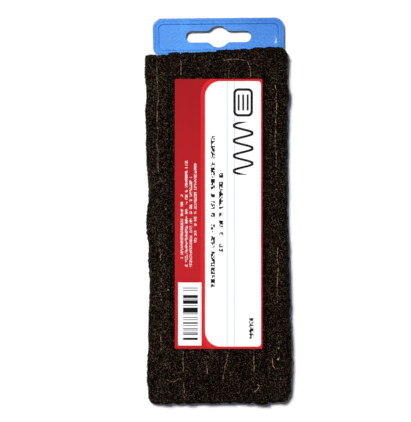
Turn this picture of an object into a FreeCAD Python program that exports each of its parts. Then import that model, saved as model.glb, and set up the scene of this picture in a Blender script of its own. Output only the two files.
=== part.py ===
"""Chalkboard eraser with pleated felt on a moulded back that ends in a hang tab.

Millimetres. The eraser lies on its hand grip with the felt up: +Z is the wiping side, +Y points
to the hang tab and X runs across the pleats. The origin is the middle of the box, at its foot.
From the grip upwards come the moulded back, the glue bed, the base cloth, six folded felt strips
(the pleats) with a seam thread inside and a crest thread on top, and a paper label.
"""

import FreeCAD, Part
import math
import os

import Sketcher

SIZES = {
    # felt strips, each folded once along its length
    "pleat_count": 6,
    "pleat_width": 11.3,
    "pleat_height": 22.0,
    "pleat_gap": 0.4,
    "felt_length": 171.3,
    "end_step": 0.6,
    "end_trim": 0.5,
    "crest_radius": 3.2,
    "fold_slit": 1.0,
    "fold_eye": 2.6,
    "crest_wall": 5.0,
    "end_round": 2.2,
    # threads
    "thread_diameter": 0.5,
    "thread_clearance": 0.05,
    "thread_inset": 3.0,
    # base cloth and glue
    "cloth_thickness": 1.5,
    "cloth_inset": 1.4,
    "cloth_corner": 3.0,
    "glue_clearance": 0.3,
    "glue_margin": 1.5,
    # moulded back
    "felt_overhang": 2.7,
    "plate_inset": 3.2,
    "plate_floor": 1.6,
    "plate_corner": 6.0,
    "plate_shift": 1.0,
    "edge_round": 0.8,
    "rim_width": 2.65,
    "rim_height": 1.2,
    "rim_groove": 0.75,
    "rim_groove_inset": 1.1,
    "rim_groove_depth": 0.3,
    "rim_groove_draft": 40.0,
    "neck_width": 54.0,
    "neck_length": 2.0,
    "neck_ease": 0.9,
    # hang tab
    "tab_reach": 18.0,
    "tab_depth": 18.5,
    "tab_corner": 4.6,
    "panel_corner": 2.4,
    "panel_draft": 25.0,
    "slot_length": 32.0,
    "slot_width": 5.6,
    "slot_from_top": 9.1,
    "hook_diameter": 10.6,
    "hook_shoulder": 0.8,
    # hand grip
    "grip_height": 16.0,
    "grip_width": 42.0,
    "grip_margin": 17.8,
    "grip_corner": 6.5,
    "grip_draft": 3.0,
    "grip_wall": 2.0,
    "grip_round": 2.4,
    "cell_rows": 7,
    "web": 1.4,
    "finger_ribs": 13,
    "finger_rib_width": 3.4,
    "finger_rib_pitch": 6.5,
    "finger_rib_relief": 1.0,
    "finger_rib_stop": 3.4,
    # label
    "label_width": 42.8,
    "label_length": 132.0,
    "label_thickness": 0.2,
    "label_corner": 1.2,
    "label_across": 0.2,
    "label_along": -1.4,
    "label_turn": -0.55,
}

# Places that several pieces share, as expressions in the sheet's names
HALF = "(sizes.felt_length + sizes.tab_reach) / 2"
FELT_TOP = "(sizes.felt_length - sizes.tab_reach) / 2"
BLOCK_WIDTH = "(sizes.pleat_count * (sizes.pleat_width + sizes.pleat_gap) - sizes.pleat_gap)"
PLATE_WIDTH = f"({BLOCK_WIDTH} - 2 * sizes.felt_overhang)"
PLATE_LENGTH = (
    "(sizes.felt_length + sizes.tab_reach - sizes.tab_depth"
    " - sizes.neck_length - sizes.plate_inset)"
)
PLATE_MIDDLE = "((sizes.plate_inset - sizes.tab_depth - sizes.neck_length) / 2)"
PLATE_TOP = "(sizes.plate_floor + sizes.rim_height)"
TAB_MIDDLE = f"({HALF} - sizes.tab_depth / 2)"
GRIP_LENGTH = f"({PLATE_LENGTH} - 2 * sizes.grip_margin)"
CELL_CORNER = "(sizes.grip_corner - sizes.grip_wall)"
CELLS_WIDTH = "(sizes.grip_width - 2 * sizes.grip_wall)"
CELLS_LENGTH = f"({GRIP_LENGTH} - 2 * sizes.grip_wall)"
TROUGH_WIDTH = f"(({CELLS_WIDTH} - sizes.web) / 2)"
CLOTH_FOOT = f"(sizes.grip_height + {PLATE_TOP})"
FELT_FOOT = f"({CLOTH_FOOT} + sizes.cloth_thickness)"
CREST = f"({FELT_FOOT} + sizes.pleat_height)"

TOUCH = 1e-4

doc = FreeCAD.newDocument("chalkboard_eraser")


def make_sheet():
    sheet = doc.addObject("Spreadsheet::Sheet", "sizes")
    for row, (alias, value) in enumerate(SIZES.items(), start=1):
        sheet.set(f"A{row}", alias)
        sheet.set(f"B{row}", str(value))
        sheet.setAlias(f"B{row}", alias)
    doc.recompute()
    return sheet


def make_body(name, x="0", y="0", z="0"):
    """An empty body, placed by three expressions."""
    body = doc.addObject("PartDesign::Body", name)
    body.Label = name
    for axis, place in zip("xyz", (x, y, z)):
        body.setExpression(f"Placement.Base.{axis}", place)
    return body


def value_of(expression):
    return float(sheet.evalExpression(expression))


def sketch_on(body, name, role, x="0", y="0", z="0"):
    """An empty sketch on one of the body's own planes, shifted by three expressions."""
    plane = next(f for f in body.Origin.OriginFeatures if f.Role == role)
    sketch = body.newObject("Sketcher::SketchObject", name)
    sketch.AttachmentSupport = [(plane, "")]
    sketch.MapMode = "FlatFace"
    for axis, place in zip("xyz", (x, y, z)):
        sketch.setExpression(f"AttachmentOffset.Base.{axis}", place)
    return sketch


def point(x, y):
    return FreeCAD.Vector(x, y, 0)


def line(sketch, start, end):
    return sketch.addGeometry(Part.LineSegment(point(*start), point(*end)), False)


def arc(sketch, centre, radius, start_degrees, end_degrees):
    circle = Part.Circle(point(*centre), FreeCAD.Vector(0, 0, 1), radius)
    angles = math.radians(start_degrees), math.radians(end_degrees)
    return sketch.addGeometry(Part.ArcOfCircle(circle, *angles), False)


def constrain(sketch, kind, *elements):
    return sketch.addConstraint(Sketcher.Constraint(kind, *elements))


def drive(sketch, name, expression, kind, *elements):
    """A dimension bound to an expression."""
    index = constrain(sketch, kind, *elements, value_of(expression))
    sketch.renameConstraint(index, name)
    sketch.setExpression(f"Constraints.{name}", expression)


def rounded_rectangle(sketch, name, width, length, radius, across=None):
    """A rectangle with round corners about the sketch's origin.

    With across, its middle lies that far to the side of the origin.
    """
    half_w = value_of(width) / 2
    half_l = value_of(length) / 2
    r = value_of(radius)
    shift = value_of(across) if across else 0
    right, left = shift + half_w, shift - half_w
    foot = line(sketch, (left + r, -half_l), (right - r, -half_l))
    right_side = line(sketch, (right, -half_l + r), (right, half_l - r))
    top = line(sketch, (right - r, half_l), (left + r, half_l))
    left_side = line(sketch, (left, half_l - r), (left, -half_l + r))
    corners = [
        arc(sketch, (right - r, -half_l + r), r, 270, 360),
        arc(sketch, (right - r, half_l - r), r, 0, 90),
        arc(sketch, (left + r, half_l - r), r, 90, 180),
        arc(sketch, (left + r, -half_l + r), r, 180, 270),
    ]
    sides = [foot, right_side, top, left_side]
    for side, corner, after in zip(sides, corners, sides[1:] + sides[:1]):
        constrain(sketch, "Tangent", side, 2, corner, 1)
        constrain(sketch, "Tangent", corner, 2, after, 1)
    for side, direction in zip(sides, ["Horizontal", "Vertical"] * 2):
        constrain(sketch, direction, side)
    for corner in corners[1:]:
        constrain(sketch, "Equal", corners[0], corner)
    if across:
        middle = sketch.addGeometry(Part.Point(point(shift, 0)), True)
        constrain(sketch, "PointOnObject", middle, 1, -1)
        drive(sketch, f"{name}_across", across, "DistanceX", -1, 1, middle, 1)
        constrain(sketch, "Symmetric", foot, 1, top, 1, middle, 1)
    else:
        constrain(sketch, "Symmetric", foot, 1, top, 1, -1, 1)
    drive(sketch, f"{name}_width", width, "DistanceX", left_side, 1, right_side, 1)
    drive(sketch, f"{name}_length", length, "DistanceY", foot, 1, top, 1)
    drive(sketch, f"{name}_radius", radius, "Radius", corners[0])


def plain_rectangle(sketch, width, length):
    """A rectangle with sharp corners about the sketch's origin."""
    x = value_of(width) / 2
    y = value_of(length) / 2
    corners = [(-x, -y), (x, -y), (x, y), (-x, y)]
    sides = [line(sketch, *ends) for ends in zip(corners, corners[1:] + corners[:1])]
    for side, after, direction in zip(
        sides, sides[1:] + sides[:1], ["Horizontal", "Vertical"] * 2
    ):
        constrain(sketch, "Coincident", side, 2, after, 1)
        constrain(sketch, direction, side)
    constrain(sketch, "Symmetric", sides[0], 1, sides[2], 1, -1, 1)
    drive(sketch, "width", width, "DistanceX", sides[0], 1, sides[0], 2)
    drive(sketch, "length", length, "DistanceY", sides[1], 1, sides[1], 2)


def hexagon(sketch, diameter):
    """A regular hexagon about the sketch's origin, with corners on a circle."""
    r = value_of(diameter) / 2
    turns = [math.radians(60 * corner) for corner in range(6)]
    corners = [(r * math.cos(turn), r * math.sin(turn)) for turn in turns]
    sides = [line(sketch, *ends) for ends in zip(corners, corners[1:] + corners[:1])]
    disc = Part.Circle(point(0, 0), FreeCAD.Vector(0, 0, 1), r)
    ring = sketch.addGeometry(disc, True)
    constrain(sketch, "Coincident", ring, 3, -1, 1)
    for side, after in zip(sides, sides[1:] + sides[:1]):
        constrain(sketch, "Coincident", side, 2, after, 1)
        constrain(sketch, "PointOnObject", side, 1, ring)
    for side in sides[1:]:
        constrain(sketch, "Equal", sides[0], side)
    constrain(sketch, "PointOnObject", sides[0], 1, -1)
    drive(sketch, "across_corners", diameter, "Diameter", ring)


def round_ended_slot(sketch, length, width):
    """A slot along the sketch's X with half-round ends, about the origin."""
    r = value_of(width) / 2
    x = value_of(length) / 2 - r
    foot = line(sketch, (-x, -r), (x, -r))
    right_end = arc(sketch, (x, 0), r, -90, 90)
    top = line(sketch, (x, r), (-x, r))
    left_end = arc(sketch, (-x, 0), r, 90, 270)
    constrain(sketch, "Tangent", foot, 2, right_end, 1)
    constrain(sketch, "Tangent", right_end, 2, top, 1)
    constrain(sketch, "Tangent", top, 2, left_end, 1)
    constrain(sketch, "Tangent", left_end, 2, foot, 1)
    constrain(sketch, "Horizontal", foot)
    constrain(sketch, "Symmetric", right_end, 3, left_end, 3, -1, 1)
    drive(sketch, "slot_width", width, "DistanceY", foot, 1, top, 2)
    drive(sketch, "slot_run", f"{length} - {width}", "DistanceX", left_end, 3, right_end, 3)


def circle(sketch, diameter, height="0"):
    """A circle on the sketch's Y axis, at a height above its origin."""
    y = value_of(height)
    disc = Part.Circle(point(0, y), FreeCAD.Vector(0, 0, 1), value_of(diameter) / 2)
    ring = sketch.addGeometry(disc, False)
    drive(sketch, "diameter", diameter, "Diameter", ring)
    if y:
        constrain(sketch, "PointOnObject", ring, 3, -2)
        drive(sketch, "height", height, "DistanceY", -1, 1, ring, 3)
    else:
        constrain(sketch, "Coincident", ring, 3, -1, 1)


def pad(body, sketch, length, downwards=False, draft=None):
    feature = body.newObject("PartDesign::Pad", f"{sketch.Name}_pad")
    feature.Profile = sketch
    feature.Reversed = downwards
    feature.setExpression("Length", length)
    if draft:
        feature.setExpression("TaperAngle", draft)
    doc.recompute()
    return feature


def pocket(body, sketch, depth, draft=None):
    """A pocket into the solid below the sketch, which has to take something away."""
    before = body.Shape.Volume
    feature = body.newObject("PartDesign::Pocket", f"{sketch.Name}_pocket")
    feature.Profile = sketch
    feature.setExpression("Length", depth)
    if draft:
        feature.setExpression("TaperAngle", draft)
    doc.recompute()
    if body.Shape.Volume > before - TOUCH:
        raise RuntimeError(f"{feature.Name} cuts nothing")
    return feature


def edges_where(feature, test):
    numbered = enumerate(feature.Shape.Edges, start=1)
    return [f"Edge{number}" for number, edge in numbered if test(edge)]


def fillet(body, name, base, edges, radius):
    feature = body.newObject("PartDesign::Fillet", name)
    feature.Base = (base, edges)
    feature.setExpression("Radius", radius)
    doc.recompute()
    return feature


def repeat_along_y(body, feature, sketch, count, pitch):
    pattern = body.newObject("PartDesign::LinearPattern", f"{feature.Name}_row")
    pattern.Originals = [feature]
    pattern.Direction = (sketch, ["V_Axis"])
    pattern.setExpression("Length", f"({count} - 1) * {pitch}")
    pattern.setExpression("Occurrences", count)
    body.Tip = pattern
    doc.recompute()
    return pattern


def lies_at(edge, z):
    return abs(edge.BoundBox.ZMin - z) < TOUCH and abs(edge.BoundBox.ZMax - z) < TOUCH


def is_upright(edge):
    flat = edge.BoundBox.XLength < TOUCH and edge.BoundBox.YLength < TOUCH
    return flat and edge.BoundBox.ZLength > TOUCH


def add_plate(body):
    """The plate under the felt, the hang tab and the narrower neck between them."""
    plate = sketch_on(body, "plate", "XY_Plane", y=PLATE_MIDDLE)
    rounded_rectangle(plate, "plate", PLATE_WIDTH, PLATE_LENGTH, "sizes.plate_corner")
    pad(body, plate, PLATE_TOP)
    tab = sketch_on(body, "tab", "XY_Plane", y=TAB_MIDDLE)
    rounded_rectangle(tab, "tab", PLATE_WIDTH, "sizes.tab_depth", "sizes.tab_corner")
    pad(body, tab, PLATE_TOP)
    neck_middle = f"{HALF} - sizes.tab_depth - sizes.neck_length / 2"
    neck = sketch_on(body, "neck", "XY_Plane", y=neck_middle)
    reach = "sizes.neck_length + 2 * sizes.rim_width"
    plain_rectangle(neck, "sizes.neck_width", reach)
    joined = pad(body, neck, PLATE_TOP)
    inner_x = value_of("sizes.neck_width") / 2
    neck_y = value_of(neck_middle)
    reach_y = value_of("sizes.neck_length") / 2

    def is_neck_corner(edge):
        middle = edge.CenterOfMass
        beside = abs(abs(middle.x) - inner_x) < TOUCH
        return is_upright(edge) and beside and abs(middle.y - neck_y) < reach_y + TOUCH

    eased = body.newObject("PartDesign::Chamfer", "neck_corners")
    eased.Base = (joined, edges_where(joined, is_neck_corner))
    eased.setExpression("Size", "sizes.neck_ease")
    doc.recompute()
    top = value_of(PLATE_TOP)
    tab_foot = value_of(f"{HALF} - sizes.tab_depth")
    outline = edges_where(
        eased, lambda edge: lies_at(edge, top) and edge.BoundBox.YMin > tab_foot - TOUCH
    )
    fillet(body, "tab_edge", eased, outline, "sizes.edge_round")


def add_grip(body):
    """The drafted hand grip under the plate, with a row of finger ribs on both long sides."""
    grip = sketch_on(body, "grip", "XY_Plane", y=PLATE_MIDDLE)
    rounded_rectangle(grip, "grip", "sizes.grip_width", GRIP_LENGTH, "sizes.grip_corner")
    block = pad(body, grip, "sizes.grip_height", downwards=True, draft="-sizes.grip_draft")
    foot = -value_of("sizes.grip_height")
    ends = edges_where(block, lambda edge: lies_at(edge, foot))
    fillet(body, "grip_foot", block, ends, "sizes.grip_round")
    row = "(sizes.finger_ribs - 1) * sizes.finger_rib_pitch"
    rib = sketch_on(body, "finger_rib", "XY_Plane", y=f"{PLATE_MIDDLE} - {row} / 2")
    across = "sizes.grip_width + 2 * sizes.finger_rib_relief"
    plain_rectangle(rib, across, "sizes.finger_rib_width")
    length = "sizes.grip_height - sizes.finger_rib_stop"
    bar = pad(body, rib, length, downwards=True, draft="-sizes.grip_draft")
    repeat_along_y(body, bar, rib, "sizes.finger_ribs", "sizes.finger_rib_pitch")


def tab_outline(body, name, z, inset):
    """A sketch of the hang tab's outline, set in all round."""
    sketch = sketch_on(body, name, "XY_Plane", y=TAB_MIDDLE, z=z)
    width = f"{PLATE_WIDTH} - 2 * ({inset})"
    corner = f"sizes.tab_corner - ({inset})"
    rounded_rectangle(sketch, name, width, f"sizes.tab_depth - 2 * ({inset})", corner)
    return sketch


def cut_rim_groove(body):
    """The shallow groove with sloping sides that runs round the rim of the hang tab."""
    slope = "-sizes.rim_groove_draft"
    valley = tab_outline(body, "rim_valley", PLATE_TOP, "sizes.rim_groove_inset")
    pocket(body, valley, "sizes.rim_groove_depth", draft=slope)
    run = "sizes.rim_groove_depth * tan(sizes.rim_groove_draft)"
    inset = f"sizes.rim_groove_inset + sizes.rim_groove - {run}"
    ridge = tab_outline(body, "rim_ridge", f"{PLATE_TOP} - sizes.rim_groove_depth", inset)
    pad(body, ridge, "sizes.rim_groove_depth", draft=slope)


def hollow_back(body):
    """The bed for the felt, the recessed tab panel and the ribbed hollow inside the grip."""
    bed = sketch_on(body, "bed", "XY_Plane", y=PLATE_MIDDLE, z=PLATE_TOP)
    width = f"{PLATE_WIDTH} - 2 * sizes.rim_width"
    corner = "sizes.plate_corner - sizes.rim_width"
    rounded_rectangle(bed, "bed", width, f"{PLATE_LENGTH} - 2 * sizes.rim_width", corner)
    pocket(body, bed, "sizes.rim_height")
    cut_rim_groove(body)
    panel = sketch_on(body, "tab_panel", "XY_Plane", y=TAB_MIDDLE, z=PLATE_TOP)
    depth = "sizes.tab_depth - 2 * sizes.rim_width"
    rounded_rectangle(panel, "panel", width, depth, "sizes.panel_corner")
    pocket(body, panel, "sizes.rim_height", draft="-sizes.panel_draft")
    troughs = sketch_on(body, "troughs", "XY_Plane", y=PLATE_MIDDLE, z="sizes.plate_floor")
    aside = f"({TROUGH_WIDTH} + sizes.web) / 2"
    for name, side in (("left", f"-{aside}"), ("right", aside)):
        rounded_rectangle(troughs, name, TROUGH_WIDTH, CELLS_LENGTH, CELL_CORNER, side)
    depth = "sizes.grip_height + sizes.plate_floor - sizes.grip_wall"
    pocket(body, troughs, depth, draft="-sizes.grip_draft")
    pitch = f"({CELLS_LENGTH} / sizes.cell_rows)"
    first_web = f"{PLATE_MIDDLE} - (sizes.cell_rows / 2 - 1) * {pitch}"
    web = sketch_on(body, "cross_web", "XY_Plane", y=first_web, z="sizes.plate_floor")
    plain_rectangle(web, CELLS_WIDTH, "sizes.web")
    wall = pad(body, web, depth, downwards=True)
    repeat_along_y(body, wall, web, "(sizes.cell_rows - 1)", pitch)


def cut_hang_slot(body):
    """The slot for a display hook: a long slot with a round seat at its middle."""
    middle = f"{HALF} - sizes.slot_from_top"
    slot = sketch_on(body, "hang_slot", "XY_Plane", y=middle, z=PLATE_TOP)
    round_ended_slot(slot, "sizes.slot_length", "sizes.slot_width")
    pocket(body, slot, PLATE_TOP)
    seat = sketch_on(body, "hook_seat", "XY_Plane", y=middle, z=PLATE_TOP)
    circle(seat, "sizes.hook_diameter")
    opened = pocket(body, seat, PLATE_TOP)
    slot_y = value_of(middle)
    half_slot = value_of("sizes.slot_width") / 2
    seat_radius = value_of("sizes.hook_diameter") / 2
    corner_x = math.sqrt(seat_radius**2 - half_slot**2)

    def is_shoulder(edge):
        place = edge.CenterOfMass
        beside = abs(abs(place.x) - corner_x) < 0.01
        return is_upright(edge) and beside and abs(abs(place.y - slot_y) - half_slot) < 0.01

    shoulders = body.newObject("PartDesign::Chamfer", "hook_shoulders")
    shoulders.Base = (opened, edges_where(opened, is_shoulder))
    shoulders.setExpression("Size", "sizes.hook_shoulder")
    doc.recompute()


def make_back_plate():
    body = make_body("back_plate", x="sizes.plate_shift", z="sizes.grip_height")
    add_plate(body)
    add_grip(body)
    hollow_back(body)
    cut_hang_slot(body)
    return body


def make_glue_bed():
    """Hot-melt glue that fills the bed round the cells, level with the rim."""
    foot = "sizes.grip_height + sizes.plate_floor"
    body = make_body("glue_bed", x="sizes.plate_shift", y=PLATE_MIDDLE, z=foot)
    bed = sketch_on(body, "glue", "XY_Plane")
    inset = "2 * (sizes.rim_width + sizes.glue_clearance)"
    corner = "sizes.plate_corner - sizes.rim_width"
    rounded_rectangle(bed, "bed", f"{PLATE_WIDTH} - {inset}", f"{PLATE_LENGTH} - {inset}", corner)
    width = f"{CELLS_WIDTH} + 2 * sizes.glue_margin"
    length = f"{CELLS_LENGTH} + 2 * sizes.glue_margin"
    rounded_rectangle(bed, "window", width, length, CELL_CORNER)
    pad(body, bed, "sizes.rim_height")
    return body


def make_base_cloth():
    """The cloth that the strips are sewn to."""
    middle = f"({FELT_TOP} - {HALF}) / 2"
    body = make_body("base_cloth", y=middle, z=CLOTH_FOOT)
    cloth = sketch_on(body, "cloth", "XY_Plane")
    width = f"{BLOCK_WIDTH} - 2 * sizes.cloth_inset"
    length = "sizes.felt_length - 2 * sizes.cloth_inset"
    rounded_rectangle(cloth, "cloth", width, length, "sizes.cloth_corner")
    pad(body, cloth, "sizes.cloth_thickness")
    return body


def fold_outline(sketch):
    """One folded strip seen from its end: two legs, a round fold on top and a slit between."""
    half = value_of("sizes.pleat_width") / 2
    high = value_of("sizes.pleat_height")
    r = value_of("sizes.crest_radius")
    slit = value_of("sizes.fold_slit") / 2
    slit_top = value_of("sizes.pleat_height - sizes.crest_wall") - slit
    left_side = line(sketch, (-half, 0), (-half, high - r))
    left_bend = arc(sketch, (-half + r, high - r), r, 90, 180)
    crest = line(sketch, (-half + r, high), (half - r, high))
    right_bend = arc(sketch, (half - r, high - r), r, 0, 90)
    right_side = line(sketch, (half, high - r), (half, 0))
    right_foot = line(sketch, (half, 0), (slit, 0))
    slit_right = line(sketch, (slit, 0), (slit, slit_top))
    slit_end = arc(sketch, (0, slit_top), slit, 0, 180)
    slit_left = line(sketch, (-slit, slit_top), (-slit, 0))
    left_foot = line(sketch, (-slit, 0), (-half, 0))
    for first, end, second, start in (
        (left_side, 2, left_bend, 2),
        (left_bend, 1, crest, 1),
        (crest, 2, right_bend, 2),
        (right_bend, 1, right_side, 1),
        (slit_right, 2, slit_end, 1),
        (slit_end, 2, slit_left, 1),
    ):
        constrain(sketch, "Tangent", first, end, second, start)
    for first, second in (
        (right_side, right_foot),
        (right_foot, slit_right),
        (slit_left, left_foot),
        (left_foot, left_side),
    ):
        constrain(sketch, "Coincident", first, 2, second, 1)
    for upright in (left_side, right_side, slit_right, slit_left):
        constrain(sketch, "Vertical", upright)
    constrain(sketch, "Horizontal", crest)
    constrain(sketch, "PointOnObject", left_side, 1, -1)
    constrain(sketch, "Symmetric", left_side, 1, right_side, 2, -1, 1)
    constrain(sketch, "Symmetric", slit_left, 2, slit_right, 1, -1, 1)
    constrain(sketch, "Equal", left_bend, right_bend)
    drive(sketch, "strip_width", "sizes.pleat_width", "DistanceX", left_side, 1, right_side, 2)
    drive(sketch, "strip_height", "sizes.pleat_height", "DistanceY", left_side, 1, crest, 1)
    drive(sketch, "bend", "sizes.crest_radius", "Radius", left_bend)
    drive(sketch, "slit", "sizes.fold_slit", "DistanceX", slit_left, 2, slit_right, 1)
    roof = "sizes.pleat_height - sizes.crest_wall - sizes.fold_slit / 2"
    drive(sketch, "slit_height", roof, "DistanceY", slit_right, 1, slit_right, 2)


def strip_x(index):
    """Where a strip's middle lies across the block."""
    pitch = "(sizes.pleat_width + sizes.pleat_gap)"
    return f"(({index} - (sizes.pleat_count - 1) / 2) * {pitch})"


def strip_foot(index):
    """Y of a strip's end away from the tab, where every second strip is trimmed a little."""
    return f"({index % 2} * sizes.end_trim - {HALF})"


def strip_length(index):
    """Each strip reaches a little further to the tab than the one before."""
    return f"({FELT_TOP} + {index} * sizes.end_step - {strip_foot(index)})"


def make_felt_pleat(index):
    """A strip of felt folded lengthwise, open at the foot, with a round eye inside the fold."""
    body = make_body(f"felt_pleat_{index + 1}", strip_x(index), strip_foot(index), FELT_FOOT)
    length = strip_length(index)
    outline = sketch_on(body, f"fold_{index + 1}", "XZ_Plane")
    fold_outline(outline)
    strip = pad(body, outline, length, downwards=True)
    far_end = value_of(length)
    side = value_of("sizes.pleat_width") / 2

    def is_end_corner(edge):
        place = edge.CenterOfMass
        at_end = min(abs(place.y), abs(place.y - far_end)) < TOUCH
        return is_upright(edge) and at_end and abs(abs(place.x) - side) < TOUCH

    corners = edges_where(strip, is_end_corner)
    fillet(body, f"strip_ends_{index + 1}", strip, corners, "sizes.end_round")
    eye = sketch_on(body, f"eye_{index + 1}", "XZ_Plane")
    eye_height = "sizes.pleat_height - sizes.crest_wall - sizes.fold_slit / 2"
    circle(eye, "sizes.fold_eye", eye_height)
    groove_height = "sizes.pleat_height - sizes.thread_diameter / 2"
    groove = sketch_on(body, f"crest_groove_{index + 1}", "XZ_Plane", y=groove_height)
    channel = "sizes.thread_diameter + 2 * sizes.thread_clearance"
    plain_rectangle(groove, channel, "sizes.thread_diameter")
    for profile in (eye, groove):
        pocket(body, profile, length)
    return body


def make_thread(name, index, height):
    """A thread along the middle of a strip."""
    foot = f"{strip_foot(index)} + sizes.thread_inset"
    body = make_body(name, strip_x(index), foot, f"{height} + sizes.thread_diameter / 2")
    section = sketch_on(body, f"{name}_section", "XZ_Plane")
    hexagon(section, "sizes.thread_diameter")
    length = f"{strip_length(index)} - 2 * sizes.thread_inset"
    pad(body, section, length, downwards=True)
    return body


def make_label():
    """The paper label, laid over the crests a little askew."""
    body = make_body("label", "sizes.label_across", "sizes.label_along", CREST)
    body.Placement.Rotation = FreeCAD.Rotation(FreeCAD.Vector(0, 0, 1), 0)
    body.setExpression("Placement.Rotation.Angle", "sizes.label_turn")
    sheet_outline = sketch_on(body, "label_outline", "XY_Plane")
    sizes = ("sizes.label_width", "sizes.label_length", "sizes.label_corner")
    rounded_rectangle(sheet_outline, "label", *sizes)
    pad(body, sheet_outline, "sizes.label_thickness")
    return body


def check_document(bodies):
    doc.recompute()
    for item in doc.Objects:
        if "Invalid" in item.State or "Error" in item.State:
            raise RuntimeError(f"{item.Name} failed: {item.State}")
    for body in bodies:
        shape = body.Shape
        if shape.isNull() or not shape.isValid() or shape.Volume <= 0:
            raise RuntimeError(f"{body.Label} has no valid solid")
        if len(shape.Solids) != 1:
            raise RuntimeError(f"{body.Label} has {len(shape.Solids)} solids")


sheet = make_sheet()
bodies = [make_back_plate(), make_glue_bed(), make_base_cloth()]
for strip in range(int(sheet.pleat_count)):
    bodies.append(make_felt_pleat(strip))
    bodies.append(make_thread(f"seam_thread_{strip + 1}", strip, FELT_FOOT))
    crest_foot = f"{CREST} - sizes.thread_diameter"
    bodies.append(make_thread(f"crest_thread_{strip + 1}", strip, crest_foot))
bodies.append(make_label())
check_document(bodies)

os.makedirs("parts", exist_ok=True)
for body in bodies:
    body.Shape.exportStep(f"parts/{body.Label}.step")
    print(f"{body.Label}: {body.Shape.Volume / 1000:.2f} cm3")
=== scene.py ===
"""The look of the chalkboard eraser: napped felt strips, threads, label and moulded back."""
import math

import bpy
import numpy as np
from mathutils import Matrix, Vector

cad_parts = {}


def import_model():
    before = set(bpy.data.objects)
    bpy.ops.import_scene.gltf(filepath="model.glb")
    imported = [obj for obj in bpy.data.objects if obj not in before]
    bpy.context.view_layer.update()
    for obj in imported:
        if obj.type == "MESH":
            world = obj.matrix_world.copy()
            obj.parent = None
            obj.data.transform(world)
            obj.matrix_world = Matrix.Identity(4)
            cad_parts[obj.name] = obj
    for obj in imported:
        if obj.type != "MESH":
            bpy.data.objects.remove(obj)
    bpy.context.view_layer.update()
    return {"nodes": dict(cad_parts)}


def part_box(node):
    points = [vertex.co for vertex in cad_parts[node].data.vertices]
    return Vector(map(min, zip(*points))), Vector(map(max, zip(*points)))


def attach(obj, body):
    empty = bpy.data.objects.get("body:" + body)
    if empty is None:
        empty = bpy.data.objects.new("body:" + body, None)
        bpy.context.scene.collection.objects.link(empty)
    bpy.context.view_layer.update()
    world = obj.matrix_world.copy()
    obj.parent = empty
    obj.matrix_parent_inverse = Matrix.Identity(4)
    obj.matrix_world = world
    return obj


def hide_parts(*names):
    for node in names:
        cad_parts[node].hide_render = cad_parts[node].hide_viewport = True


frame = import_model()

MM = 0.001
BODY = "root"
STRIPS = sum(name.startswith("felt_pleat_") for name in frame["nodes"])

# -------- numbers and noise


def lattice(x, y, z, seed):
    """A repeatable value from -1 to 1 for each whole-number point."""
    mixed = (x * 374761393 + y * 668265263 + z * 974634777 + seed * 1274126177) & 0xFFFFFFFF
    mixed = ((mixed ^ (mixed >> 13)) * 1274126177) & 0xFFFFFFFF
    return ((mixed ^ (mixed >> 16)) & 0xFFFF) / 32767.5 - 1


def noise(points, size, seed):
    """Smooth noise from -1 to 1 at the points, with features of about the given size."""
    cells = np.asarray(points, float) / size
    whole = np.floor(cells).astype(np.int64)
    part = cells - whole
    ease = part * part * (3 - 2 * part)
    total = np.zeros(len(cells))
    for corner in np.ndindex(2, 2, 2):
        share = np.ones(len(cells))
        for axis, step in enumerate(corner):
            share *= ease[:, axis] if step else 1 - ease[:, axis]
        total += share * lattice(*(whole + corner).T, seed)
    return total


def wander(along, size, seed):
    """Smooth noise along one line."""
    line = np.zeros((len(along), 3))
    line[:, 1] = along
    line[:, 0] = seed * 7.3
    return noise(line, np.array([1.0, size, 1.0]), seed)


def layered(kind, places, number, layers):
    """A sum of layers of noise in mm; each layer has a height and a size in mm, and a seed."""
    return sum(height * kind(places, size * MM, seed + number) for height, size, seed in layers)


# -------- meshes


def placed(name, data):
    """A new object in the scene."""
    thing = bpy.data.objects.new(name, data)
    bpy.context.scene.collection.objects.link(thing)
    return thing


def new_piece(name, verts, faces, node=None, slot=None, smooth=True):
    """A mesh that rides on the eraser, in the place of a node if one is named."""
    mesh = bpy.data.meshes.new(name)
    mesh.from_pydata([tuple(v) for v in verts], [], [tuple(f) for f in faces])
    mesh.validate()
    mesh.update()
    if smooth:
        mesh.polygons.foreach_set("use_smooth", [True] * len(mesh.polygons))
    piece = placed(name, mesh)
    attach(piece, BODY)
    if node:
        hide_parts(node)
    return piece


def rows_of(parts, key):
    """A three-number property of every part, such as each vertex's place."""
    values = np.empty(len(parts) * 3)
    parts.foreach_get(key, values)
    return values.reshape(-1, 3)


def tubes(paths, radii, sides, up):
    """Verts, walls and caps of closed tubes along many paths of as many points."""
    count, steps, _ = paths.shape
    ahead = np.gradient(paths, axis=1)
    ahead /= np.linalg.norm(ahead, axis=2)[..., None]
    across = np.cross(ahead, up)
    across /= np.linalg.norm(across, axis=2)[..., None]
    other = np.cross(across, ahead)
    turns = (np.arange(sides) * 2 * math.pi / sides)[:, None]
    ring = np.cos(turns) * across[:, :, None] + np.sin(turns) * other[:, :, None]
    verts = paths[:, :, None] + ring * radii[..., None, None]
    side = np.arange(sides)
    after = (side + 1) % sides
    base = np.arange(count)[:, None] * steps * sides
    low = base[..., None] + (np.arange(steps - 1) * sides)[:, None]
    high = low + sides
    walls = np.stack([low + side, low + after, high + after, high + side], axis=-1)
    caps = np.vstack([base + side[::-1], base + (steps - 1) * sides + side])
    return verts.reshape(-1, 3), walls.reshape(-1, 4), caps


def tube(path, radii, sides=6):
    """Verts and faces of one closed round tube along a level path."""
    girth = np.broadcast_to(radii, len(path))[None]
    verts, walls, caps = tubes(path[None], girth, sides, (0, 0, 1))
    return verts, walls.tolist() + caps.tolist()


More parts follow.
